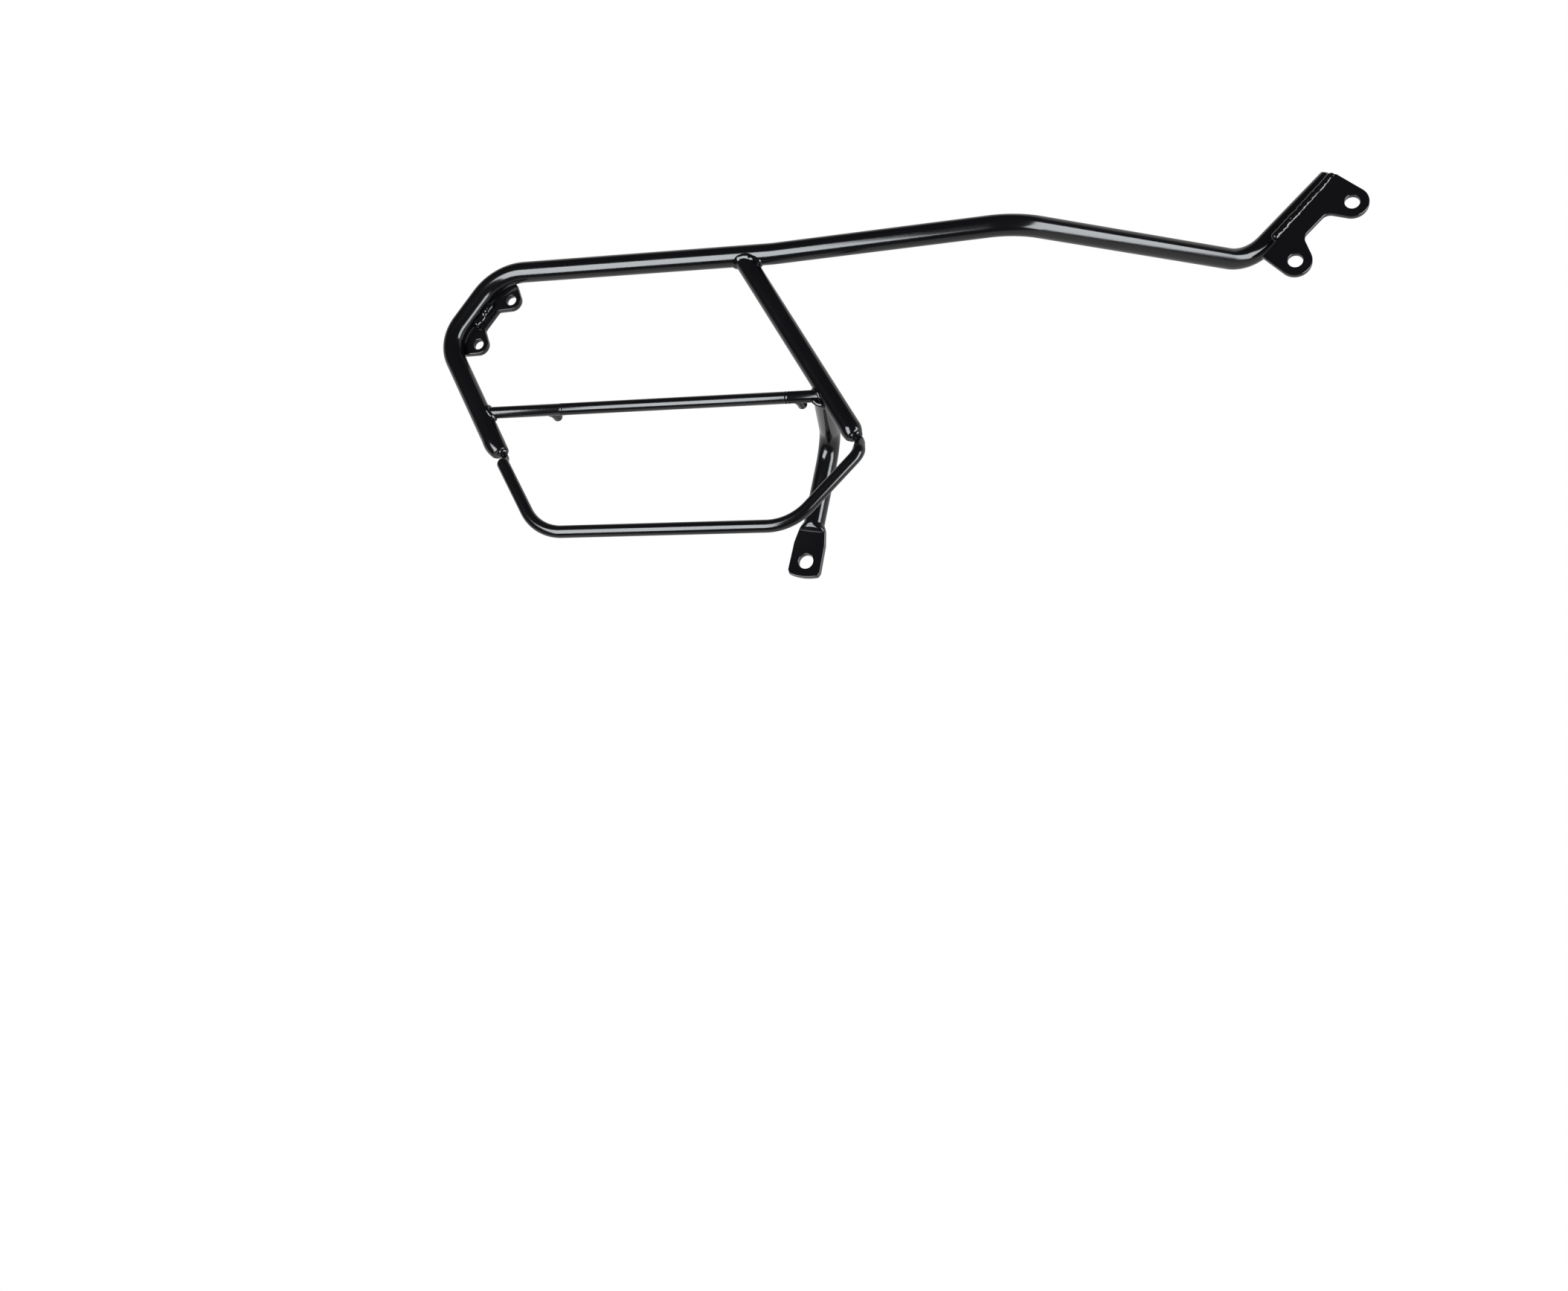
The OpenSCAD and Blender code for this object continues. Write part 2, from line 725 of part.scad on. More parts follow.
// Bead around a hoop's end of diameter d, on the tip of its tube
module neck_bead(neck, dir, d) {
    foot = neck - dir * neck_length;
    color(bare_weld)
        difference() {
            along(foot, neck)
                cylinder(d1 = d + 2 * neck_bead_leg, d2 = d + neck_bead_leg / 2, h = neck_bead_leg);
            spigots();
        }
}

module weld_hoop_rear() {
    neck_bead(hoop_neck_rear, leg_dir, neck_d);
}

module weld_hoop_front() {
    neck_bead(hoop_neck_front, strut_dir, spigot_d);
}

module peg_bead(back) {
    leg = bead / 2;
    color(bare_weld)
        difference() {
            intersection() {
                peg_form(back, leg);
                bar(side(back + peg_d, rod_z), side(back - peg_d, rod_z), rod_d + 2 * leg);
            }
            rod_form();
            peg_form(back);
        }
}

module weld_peg_rear() {
    peg_bead(rear_peg_back);
}

module weld_peg_front() {
    peg_bead(front_peg_back);
}

main_rail();
strut();
cross_rod();
hoop();
stay();
front_bracket();
rear_bracket();
front_end_cap();
peg_rear();
peg_front();
weld_strut_top();
weld_rod_rear();
weld_rod_front();
weld_stay();
weld_front_bracket();
weld_rear_bracket();
weld_hoop_rear();
weld_hoop_front();
weld_peg_rear();
weld_peg_front();
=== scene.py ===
"""Looks of the side carrier: a gloss black coat, rippled weld beads, pale floor and soft studio light."""
import math

import bpy
from mathutils import Matrix, Vector, noise


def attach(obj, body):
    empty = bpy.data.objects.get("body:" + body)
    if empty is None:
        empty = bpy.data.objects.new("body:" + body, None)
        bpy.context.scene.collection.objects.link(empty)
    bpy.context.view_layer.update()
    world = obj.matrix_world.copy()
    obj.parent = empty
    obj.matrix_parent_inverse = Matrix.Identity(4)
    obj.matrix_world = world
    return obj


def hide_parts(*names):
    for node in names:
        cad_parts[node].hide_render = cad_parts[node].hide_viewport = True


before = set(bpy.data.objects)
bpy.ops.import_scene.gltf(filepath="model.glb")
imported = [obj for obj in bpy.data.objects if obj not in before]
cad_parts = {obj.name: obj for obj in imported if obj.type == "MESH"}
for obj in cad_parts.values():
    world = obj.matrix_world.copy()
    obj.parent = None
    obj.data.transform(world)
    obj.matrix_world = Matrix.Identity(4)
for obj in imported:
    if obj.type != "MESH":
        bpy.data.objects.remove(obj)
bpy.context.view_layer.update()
scene = bpy.context.scene

# Camera, at the photograph's viewing angle
CAMERA_PLACE = Vector((0.0209, -1.4275, -0.754))
CAMERA_RIGHT = Vector((0.957, 0.280, 0.0715))
CAMERA_UP = Vector((0.00995, -0.27886, 0.96028))
FOCAL_MM = 41.17
SENSOR_MM = 36.0
CLIP_START = 0.05
CLIP_END = 60.0

# Stage, in metres; the floor fades to plain white between two distances from its middle
MIDDLE = Vector((-0.36, -0.1, -0.12))
FLOOR_Z = -1.7
FLOOR_RADIUS = 9.0
FLOOR_SIDES = 96
FLOOR_FADE = (1.2, 2.4)
FLOOR_PAINT = (0.86, 0.86, 0.86, 1.0)
WHITE = (1.0, 1.0, 1.0, 1.0)

# Light: the plain sky, the strength that gloss sees before and behind the object, and the soft boxes
SKY_PAINT = (0.95, 0.97, 1.0, 1.0)
SKY_STRENGTH = 0.3
FRONT_GLOSS = 0.05
BACK_GLOSS = 0.9
# Y of the way at which the gloss leaves its front strength and reaches its back strength
GLOSS_TURN = (-0.15, 0.2)
LAMP_TINT = (0.93, 0.97, 1.0)
LAMP_DISTANCE = 1.7

# Coat
COAT_PAINT = (0.0022, 0.0021, 0.0026)
CLOUD_SPAN = (0.3, 0.7)
ROUGH_SHARES = (0.85, 1.2)

# Sizes and places in millimetres, as in the part
MM = 0.001
TUBE_R = 9.0
STRUT_R = 8.7
ROD_R = 5.1
HOOP_R = 5.25
SPIGOT_R = 4.1
NECK_R = 3.0
PEG_R = 4.1
SIDE_OFFSET = 139.5
PLATE_T = 5.0
JOINT_GAP = 0.06
# Places around a tube, and degrees from ring to ring in a bend and from place to place in a plate's round
AROUND = 64
BEND_STEP = 2.5
ROUND_STEP = 5
# Largest share of a way that may lie along Y for Y to start its rings
NEAR_Y = 0.9
Y_WAY = Vector((0, 1, 0))
Z_WAY = Vector((0, 0, 1))


def side(back, height, inward=0.0):
    """Point of the side plane, by its distance back and its height."""
    return Vector((-back, inward - SIDE_OFFSET, height))


def down(angle, length=1.0):
    a = math.radians(angle)
    return Vector((math.cos(a), 0, -math.sin(a))) * length


def up(angle, length=1.0):
    a = math.radians(angle)
    return Vector((math.cos(a), 0, math.sin(a))) * length


def rise(angle):
    return math.sin(math.radians(angle))


# Main rail
RAIL_Z = -33.0
REAR_BEND_BACK = 672.0
REAR_RISE = 0.6
KINK_BACK = 420.0
SHOULDER_BACK = 215.0
SHOULDER_RISE = 11
FRONT_BEND_BACK = 39.2
FRONT_BEND_RISE = 8.7
FRONT_ANGLE = 47.8
FRONT_LEG_LENGTH = 99.0
DIAGONAL_ANGLE = 57.1
DIAGONAL_LENGTH = 75.5
LEG_ANGLE = 59.7
LEG_LENGTH = 125.3
LEG_SWAGE_LENGTH = 17.0
RAIL_RADII = [0, 34.0, 46.0, 120.0, 60.0, 44.0, 0]
rear_bend = side(REAR_BEND_BACK, RAIL_Z + REAR_RISE)
low_bend = rear_bend - up(DIAGONAL_ANGLE, DIAGONAL_LENGTH)
leg_dir = down(LEG_ANGLE)
leg_side = up(90 - LEG_ANGLE)
leg_tip = low_bend + leg_dir * LEG_LENGTH
leg_full_end = leg_tip - leg_dir * LEG_SWAGE_LENGTH
front_bend = Vector((-FRONT_BEND_BACK, (PLATE_T + 2 * TUBE_R) / 2 + JOINT_GAP, FRONT_BEND_RISE))
front_end = front_bend + up(FRONT_ANGLE, FRONT_LEG_LENGTH)
rail_corners = [leg_full_end, low_bend, rear_bend, side(KINK_BACK, RAIL_Z),
                side(SHOULDER_BACK, RAIL_Z + SHOULDER_RISE), front_bend, front_end]

# Strut, cross rod and pegs
STRUT_BACK = 447.0
STRUT_ANGLE = 57.0
STRUT_TIP_RISE = 2.5
STRUT_SWAGE_LENGTH = 9.0
ROD_RISE = 39.0
REAR_PEG_INSET = 65.9
FRONT_PEG_INSET = 27.2
strut_top = side(STRUT_BACK, RAIL_Z)
strut_dir = down(STRUT_ANGLE)
strut_side = up(90 - STRUT_ANGLE)
strut_tip = strut_top + strut_dir * (strut_top.z - leg_tip.z - STRUT_TIP_RISE) / rise(STRUT_ANGLE)
strut_full_end = strut_tip - strut_dir * STRUT_SWAGE_LENGTH
rod_z = leg_tip.z + ROD_RISE
rod_rear = low_bend + leg_dir * (low_bend.z - rod_z) / rise(LEG_ANGLE)
rod_front = strut_top + strut_dir * (strut_top.z - rod_z) / rise(STRUT_ANGLE)
peg_rear_x = rod_rear.x + REAR_PEG_INSET
peg_front_x = rod_front.x - FRONT_PEG_INSET

# Swaged tips: share of the length, radius and shift across the tube, and the shift of each tip's middle
LEG_SWAGE = [(0, 9.0, 0), (0.5, 8.85, 0.1), (1, 7.3, 1.5)]
STRUT_SWAGE = [(0, 8.7, 0), (0.5, 8.4, -0.2), (1, 6.8, -0.6)]
LEG_TIP_SHIFT = 3.3
STRUT_TIP_SHIFT = 0.6
leg_tip_centre = leg_tip + leg_side * LEG_TIP_SHIFT
strut_tip_centre = strut_tip - strut_side * STRUT_TIP_SHIFT

# Hoop
HOOP_OUT = 8.0
NECK_INWARD = 1.0
NECK_LENGTH = 6.4
FRONT_NECK_SIDE = 1.2
NECK_BEND_R = 3.6
REAR_STEP = Vector((2.7, -HOOP_OUT - NECK_INWARD, -8.4))
FRONT_STEP = Vector((1.6, -HOOP_OUT - NECK_INWARD, -13.6))
HOOP_REAR_ANGLE = 58.3
HOOP_FRONT_ANGLE = 49.0
HOOP_REAR_DEPTH = 74.4
HOOP_FRONT_DEPTH = 77.6
HOOP_RADII = [0, 40.0, 45.0, 10.0, 5.67, 0]
# Distances above the front neck: the full rod's end, and the rings of its turned end
HOOP_END = 3.2
SPIGOT_AT = (3.8, 4.4, 12.0)
# Distances from that end between which the rod grows to its full size
THIN_LENGTH = 3.0
GROWING_LENGTH = 10.0
neck_rear = leg_tip_centre + leg_dir * NECK_LENGTH + Vector((0, NECK_INWARD, 0))
neck_front = (strut_tip_centre + strut_dir * NECK_LENGTH + strut_side * FRONT_NECK_SIDE
              + Vector((0, NECK_INWARD, 0)))
high_rear = neck_rear + REAR_STEP
high_front = neck_front + FRONT_STEP
low_rear = high_rear + down(HOOP_REAR_ANGLE,
                            (high_rear.z - leg_tip.z + HOOP_REAR_DEPTH) / rise(HOOP_REAR_ANGLE))
low_front = high_front - up(HOOP_FRONT_ANGLE,
                            (high_front.z - strut_tip.z + HOOP_FRONT_DEPTH) / rise(HOOP_FRONT_ANGLE))

# Stay and its flattened end
STAY_LEAN = 7.4
STAY_REACH = 95.0
KNEE_BACK = 385.0
KNEE_RISE = 3
KNEE_R = 25.0
STAY_ROOT_BACK = 5.0
STAY_LENGTH = 79.0
SQUEEZE_LENGTH = 7.5
SQUEEZE_HALF_WIDTH = 11.7
SQUEEZE_SHARES = (0, 0.15, 0.3, 0.45, 0.6, 0.72, 0.82, 0.9, 0.95, 0.98, 1.0)
TAB_T = 5.5
TAB_TOP = 86.0
TAB_TIP = 127.38
TAB_CROWN_R = 42.0
# Half widths of the flattened end, each with its distance below the top
TAB_HALF_WIDTHS = [(11.75, 0), (13.75, 11.5), (14.2, 36.0)]
STAY_HOLE_AT = 113.4
STAY_HOLE_R = 6.5
knee = side(KNEE_BACK, rod_z + KNEE_RISE, STAY_REACH)
stay_dir = -up(90 - STAY_LEAN)
stay_side = down(STAY_LEAN)
stay_root = rod_front - Vector((STAY_ROOT_BACK, 0, 0))

# Bracket plates, drawn along the line of their holes and across it toward the tube
FRONT_PITCH = 69.4
FRONT_EAR_R = 14.0
FRONT_HOLE_R = 6.3
FRONT_WAIST = [(20.5, 9.7), (49, 9.7)]
FRONT_WAIST_R = 8.0
FRONT_CORNERS = [(-13.8, 24), (81.3, 29.5)]
FRONT_CORNER_R = 2.5
REAR_PITCH = 48.3
REAR_EAR_R = 9.0
REAR_HOLE_R = 4.5
REAR_WAIST = [(14, 4.2), (34.3, 4.2)]
REAR_WAIST_R = 3.0
REAR_CORNERS = [(-14.3, 5), (62.6, 5)]
REAR_CORNER_R = 0.3
REAR_ROOTS = [(63.8, 11), (54.3, 18), (-6, 18), (-15.5, 11)]
REAR_HOLE_START = 13.9
REAR_HOLE_OUT = 24.0
REAR_PLATE_IN = 4
PLATE_RIM = 0.8
TAB_RIM = 0.55

# Weld beads: ends of the front plate's two runs in its drawing, each run with its Y, and the rear plate's
FRONT_BEAD = ((3.0, 28.6), (81.0, 30.6))
FRONT_BEAD_Y = 0.3
BACK_BEAD = ((4.0, 28.4), (80.0, 30.6))
BACK_BEAD_Y = 1.9
REAR_BEAD_START = 11.15
REAR_BEAD_LENGTH = 26.0
REAR_BEAD_OUT = 12.2
REAR_BEAD_Y = 2.0
BEAD_STEP = 0.35
BEAD_AROUND = 20
SADDLE_PLACES = 160


def node(tree, kind, place, **values):
    made = tree.nodes.new(kind)
    made.location = place
    for name, value in values.items():
        if name in made.inputs:
            made.inputs[name].default_value = value
        else:
            setattr(made, name, value)
    return made


def set_span(ramp, source, target):
    """Gives a Map Range node the span that it reads and the span that it writes."""
    for name, value in zip(("From Min", "From Max", "To Min", "To Max"), (*source, *target)):
        ramp.inputs[name].default_value = value


def add_camera():
    forward = CAMERA_UP.cross(CAMERA_RIGHT).normalized()
    right = CAMERA_RIGHT.normalized()
    upward = right.cross(forward).normalized()
    data = bpy.data.cameras.new("camera")
    data.lens = FOCAL_MM
    data.sensor_width = SENSOR_MM
    data.sensor_fit = "HORIZONTAL"
    data.clip_start = CLIP_START
    data.clip_end = CLIP_END
    obj = bpy.data.objects.new("camera", data)
    turn = Matrix((right, upward, -forward)).transposed().to_4x4()
    obj.matrix_world = Matrix.Translation(CAMERA_PLACE) @ turn
    scene.collection.objects.link(obj)
    scene.camera = obj


def lamp(name, azimuth, elevation, width, height, watts):
    """Soft box that faces the object, its azimuth counted from -Y toward +X."""
    a, e = math.radians(azimuth), math.radians(elevation)
    away = Vector((math.sin(a) * math.cos(e), -math.cos(a) * math.cos(e), math.sin(e)))
    data = bpy.data.lights.new(name, "AREA")
    data.shape = "RECTANGLE"
    data.size = width
    data.size_y = height
    data.energy = watts
    data.color = LAMP_TINT
    obj = bpy.data.objects.new(name, data)
    obj.location = MIDDLE + away * LAMP_DISTANCE
    obj.rotation_euler = away.to_track_quat("Z", "Y").to_euler()
    obj.visible_camera = False
    scene.collection.objects.link(obj)


def light_world():
    """White where the camera looks, a plain sky, and for gloss dark before the object and white behind it."""
    world = bpy.data.worlds.new("studio")
    world.use_nodes = True
    scene.world = world
    tree = world.node_tree
    tree.nodes.clear()
    way = node(tree, "ShaderNodeTexCoord", (-900, 200))
    split = node(tree, "ShaderNodeSeparateXYZ", (-700, 200))
    ramp = node(tree, "ShaderNodeMapRange", (-500, 200), interpolation_type="SMOOTHSTEP")
    set_span(ramp, GLOSS_TURN, (FRONT_GLOSS, BACK_GLOSS))
    path = node(tree, "ShaderNodeLightPath", (-900, -200))
    shine = node(tree, "ShaderNodeMath", (-500, -200), operation="MAXIMUM")
    gloss = node(tree, "ShaderNodeBackground", (-200, 200))
    sky = node(tree, "ShaderNodeBackground", (-200, 50), Color=SKY_PAINT, Strength=SKY_STRENGTH)
    plain = node(tree, "ShaderNodeBackground", (-200, -100), Color=WHITE)
    first = node(tree, "ShaderNodeMixShader", (0, 100))
    second = node(tree, "ShaderNodeMixShader", (200, 100))
    out = node(tree, "ShaderNodeOutputWorld", (400, 100))
    links = tree.links
    links.new(way.outputs["Generated"], split.inputs[0])
    links.new(split.outputs["Y"], ramp.inputs["Value"])
    links.new(ramp.outputs["Result"], gloss.inputs["Strength"])
    links.new(path.outputs["Is Glossy Ray"], shine.inputs[0])
    links.new(path.outputs["Is Transmission Ray"], shine.inputs[1])
    links.new(shine.outputs[0], first.inputs[0])
    links.new(sky.outputs[0], first.inputs[1])
    links.new(gloss.outputs[0], first.inputs[2])
    links.new(path.outputs["Is Camera Ray"], second.inputs[0])
    links.new(first.outputs[0], second.inputs[1])
    links.new(plain.outputs[0], second.inputs[2])
    links.new(second.outputs[0], out.inputs["Surface"])


def add_floor():
    """Pale floor that keeps the object's shadow and fades to plain white far from it."""
    bpy.ops.mesh.primitive_circle_add(vertices=FLOOR_SIDES, radius=FLOOR_RADIUS, fill_type="NGON",
                                      location=(MIDDLE.x, MIDDLE.y, FLOOR_Z))
    floor = bpy.context.object
    floor.name = "floor"
    mat = bpy.data.materials.new("floor")
    mat.use_nodes = True
    tree = mat.node_tree
    tree.nodes.clear()
    place = node(tree, "ShaderNodeTexCoord", (-900, 100))
    length = node(tree, "ShaderNodeVectorMath", (-700, 100), operation="LENGTH")
    ramp = node(tree, "ShaderNodeMapRange", (-500, 100), interpolation_type="SMOOTHSTEP")
    set_span(ramp, FLOOR_FADE, (0.0, 1.0))
    path = node(tree, "ShaderNodeLightPath", (-900, -150))
    seen = node(tree, "ShaderNodeMath", (-700, -150), operation="MAXIMUM")
    shine = node(tree, "ShaderNodeMath", (-550, -150), operation="MAXIMUM")
    both = node(tree, "ShaderNodeMath", (-300, 0), operation="MULTIPLY")
    paint = node(tree, "ShaderNodeBsdfDiffuse", (-300, 200), Color=FLOOR_PAINT)
    white = node(tree, "ShaderNodeEmission", (-300, -200), Color=WHITE)
    mix = node(tree, "ShaderNodeMixShader", (0, 0))
    out = node(tree, "ShaderNodeOutputMaterial", (200, 0))
    links = tree.links
    links.new(place.outputs["Object"], length.inputs[0])
    links.new(length.outputs["Value"], ramp.inputs["Value"])
    links.new(path.outputs["Is Camera Ray"], seen.inputs[0])
    links.new(path.outputs["Is Glossy Ray"], seen.inputs[1])
    links.new(seen.outputs[0], shine.inputs[0])
    links.new(path.outputs["Is Transmission Ray"], shine.inputs[1])
    links.new(shine.outputs[0], both.inputs[0])
    links.new(ramp.outputs["Result"], both.inputs[1])
    links.new(both.outputs[0], mix.inputs[0])
    links.new(paint.outputs[0], mix.inputs[1])
    links.new(white.outputs[0], mix.inputs[2])
    links.new(mix.outputs[0], out.inputs["Surface"])
    floor.data.materials.append(mat)
    floor.visible_glossy = False


def coat(name, roughness, peel_scale, peel_height, speckle):
    """Gloss powder coat: a deep colour under a smooth skin with a slight orange peel."""
    mat = bpy.data.materials.new(name)
    mat.use_nodes = True
    tree = mat.node_tree
    tree.nodes.clear()
    place = node(tree, "ShaderNodeTexCoord", (-1100, 0))
    peel = node(tree, "ShaderNodeTexNoise", (-800, -250), Scale=peel_scale, Detail=2.0, Roughness=0.45)
    cloud = node(tree, "ShaderNodeTexNoise", (-800, 150), Scale=14.0, Detail=3.0)
    tone = node(tree, "ShaderNodeMapRange", (-550, 250))
    set_span(tone, CLOUD_SPAN, (0.0, 1.0))
    shade = node(tree, "ShaderNodeMix", (-300, 250), data_type="RGBA")
    shade.inputs[6].default_value = (*[c * (1 - speckle) for c in COAT_PAINT], 1.0)
    shade.inputs[7].default_value = (*[c * (1 + speckle) for c in COAT_PAINT], 1.0)
    rough = node(tree, "ShaderNodeMapRange", (-550, 0))
    set_span(rough, CLOUD_SPAN, [roughness * share for share in ROUGH_SHARES])
    bump = node(tree, "ShaderNodeBump", (-300, -250), Strength=1.0, Distance=peel_height)
    body = node(tree, "ShaderNodeBsdfPrincipled", (0, 0), IOR=1.5)
    out = node(tree, "ShaderNodeOutputMaterial", (300, 0))
    links = tree.links
    links.new(place.outputs["Object"], peel.inputs["Vector"])
    links.new(place.outputs["Object"], cloud.inputs["Vector"])
    links.new(cloud.outputs["Fac"], tone.inputs["Value"])
    links.new(tone.outputs["Result"], shade.inputs[0])
    links.new(cloud.outputs["Fac"], rough.inputs["Value"])
    links.new(peel.outputs["Fac"], bump.inputs["Height"])
    links.new(shade.outputs[2], body.inputs["Base Color"])
    links.new(rough.outputs["Result"], body.inputs["Roughness"])
    links.new(bump.outputs["Normal"], body.inputs["Normal"])
    links.new(body.outputs[0], out.inputs["Surface"])
    return mat


def turns(count):
    """Angles once around, from zero."""
    return [2 * math.pi * k / count for k in range(count)]


def circle(centre, first, second, r, count):
    """Places on a circle, from the way first toward the way second."""
    return [centre + (first * math.cos(t) + second * math.sin(t)) * r for t in turns(count)]


def reversed_rings(rings):
    """The same rings, each going the other way around from its first place."""
    return [[ring[-k % AROUND] for k in range(AROUND)] for ring in rings]


def bent_line(corners, radii):
    """Places along a line of corners, rounded by their bend radii."""
    spots = [corners[0]]
    for i in range(1, len(corners) - 1):
        v = (corners[i] - corners[i - 1]).normalized()
        w = (corners[i + 1] - corners[i]).normalized()
        angle = v.angle(w)
        x = (w - v * math.cos(angle)).normalized()
        centre = corners[i] - v * radii[i] * math.tan(angle / 2) + x * radii[i]
        steps = max(4, math.ceil(math.degrees(angle) / BEND_STEP))
        for k in range(steps + 1):
            a = angle * k / steps
            spots.append(centre + (v * math.sin(a) - x * math.cos(a)) * radii[i])
    spots.append(corners[-1])
    return spots


def carried_rings(spots, radii, around=AROUND, first=None):
    """Rings square to a line of places, without twist, all of one radius or each with its own."""
    rings = []
    seam = first
    for i, spot in enumerate(spots):
        ahead = spots[min(i + 1, len(spots) - 1)] - spot
        behind = spot - spots[max(i - 1, 0)]
        way = (ahead.normalized() + behind.normalized()).normalized()
        if seam is None:
            seam = Y_WAY.cross(way)
        seam = (seam - way * seam.dot(way)).normalized()
        r = radii[i] if isinstance(radii, list) else radii
        rings.append(circle(spot, seam, way.cross(seam), r, around))
    return rings


def settle(name, mesh, mat, node_names, sharp):
    """Object of a finished mesh that rides the one body and stands for the named nodes."""
    mesh.materials.clear()
    mesh.materials.append(mat)
    mesh.update()
    mesh.shade_smooth()
    mesh.set_sharp_from_angle(angle=math.radians(sharp))
    obj = bpy.data.objects.new(name, mesh)
    scene.collection.objects.link(obj)
    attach(obj, "root")
    if node_names:
        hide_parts(*node_names)


def skin(name, rings, mat, node_names=(), ends=True, loop=False, sharp=35):
    """Mesh over a row of rings, closed at its ends or joined into a loop."""
    count = len(rings[0])
    verts = [tuple(p * MM) for ring in rings for p in ring]
    faces = []
    rows = len(rings) if loop else len(rings) - 1
    for i in range(rows):
        a, b = i * count, (i + 1) % len(rings) * count
        for k in range(count):
            j = (k + 1) % count
            faces.append((a + k, a + j, b + j, b + k))
    if ends and not loop:
        faces.append(tuple(reversed(range(count))))
        faces.append(tuple(range((len(rings) - 1) * count, len(rings) * count)))
    mesh = bpy.data.meshes.new(name)
    mesh.from_pydata(verts, [], faces)
    settle(name, mesh, mat, node_names, sharp)


def through(table, share):
    """Smooth value through a table of three rows (share, radius, shift)."""
    (_, r0, s0), (_, r1, s1), (_, r2, s2) = table
    a, b, c = 2 * (share - 0.5) * (share - 1), -4 * share * (share - 1), 2 * share * (share - 0.5)
    return r0 * a + r1 * b + r2 * c, s0 * a + s1 * b + s2 * c


def swage_rings(full_end, way, across_way, length, table, seam):
    """Rings of a swaged tip, with a small round at its rim."""
    steps = 12
    lip = 0.9
    other = way.cross(seam)
    rings = []
    for k in range(1, steps + 1):
        share = k / steps * (1 - lip / length)
        r, shift = through(table, share)
        rings.append(circle(full_end + way * share * length + across_way * shift, seam, other, r, AROUND))
    r, shift = through(table, 1)
    for angle in (30, 60, 90):
        a = math.radians(angle)
        centre = full_end + way * (length - lip + lip * math.sin(a)) + across_way * shift
        rings.append(circle(centre, seam, other, r - lip * (1 - math.cos(a)), AROUND))
    return rings


def add_rail():
    """Bent tube from the swaged tip of the rear leg to the front end."""
    tip_rings = swage_rings(leg_full_end, leg_dir, leg_side, LEG_SWAGE_LENGTH, LEG_SWAGE, Y_WAY)
    # Seen along the rail the tip's way is reversed, so its rings turn the other way
    rings = reversed_rings(tip_rings[::-1])
    rings += carried_rings(bent_line(rail_corners, RAIL_RADII), TUBE_R, first=Y_WAY)
    skin("rail_tube", rings, black, ["main_rail"])


def add_strut():
    """Straight tube from inside the rail to its swaged tip."""
    start_below = 5.0
    rings = carried_rings([strut_top + strut_dir * start_below, strut_full_end], STRUT_R, first=Y_WAY)
    rings += swage_rings(strut_full_end, strut_dir, strut_side, STRUT_SWAGE_LENGTH, STRUT_SWAGE, Y_WAY)
    skin("strut_tube", rings, black, ["strut"])


def add_cross_rod():
    """Cross rod with a turned groove between two low ridges beside each peg."""
    rear_inset = 5.0
    front_inset = 3.0
    groove_from_rear_peg = 10.5
    groove_from_front_peg = 8.5
    groove_profile = ((-1.6, 0), (-1.1, -0.2), (-0.6, -0.1), (-0.35, 0.35),
                      (0.35, 0.35), (0.6, -0.1), (1.1, -0.2), (1.6, 0))
    spots = [rod_rear + Vector((rear_inset, 0, 0))]
    radii = [ROD_R]
    for at in (peg_rear_x + groove_from_rear_peg, peg_front_x - groove_from_front_peg):
        for step, depth in groove_profile:
            spots.append(Vector((at + step, rod_rear.y, rod_rear.z)))
            radii.append(ROD_R - depth)
    spots.append(rod_front - Vector((front_inset, 0, 0)))
    radii.append(ROD_R)
    skin("cross_rod_bar", carried_rings(spots, radii, around=48), black, ["cross_rod"], sharp=30)


def add_hoop():
    """Bent rod with a round rear end, thinner toward its turned end in the strut."""
    corners = [high_rear, low_rear, low_front, high_front, neck_front, neck_front - strut_dir * HOOP_END]
    spots = bent_line(corners, HOOP_RADII)
    way = (spots[1] - spots[0]).normalized()
    dome_angles = [math.radians(a) for a in range(4, 90, 8)]
    dome = [spots[0] - way * HOOP_R * math.cos(a) for a in dome_angles]
    dome_radii = [HOOP_R * math.sin(a) for a in dome_angles]
    tail = [neck_front - strut_dir * d for d in SPIGOT_AT]
    left = 0.0
    radii = []
    for ahead, spot in zip(reversed(spots), reversed([spots[0]] + spots[:-1])):
        grown = min(1.0, max(0.0, (left - THIN_LENGTH) / GROWING_LENGTH))
        radii.append(SPIGOT_R + (HOOP_R - SPIGOT_R) * grown)
        left += (ahead - spot).length
    sizes = dome_radii + radii[::-1] + [SPIGOT_R] * len(tail)
    skin("hoop_rod", carried_rings(dome + spots + tail, sizes, around=56), black, ["hoop"])


def add_neck():
    """Thin turned neck between the rear leg's tip and the hoop."""
    depth_inside = 12.0
    spots = bent_line([neck_rear - leg_dir * depth_inside, neck_rear, high_rear], [0, NECK_BEND_R, 0])
    skin("hoop_neck", carried_rings(spots, NECK_R, around=40), black)


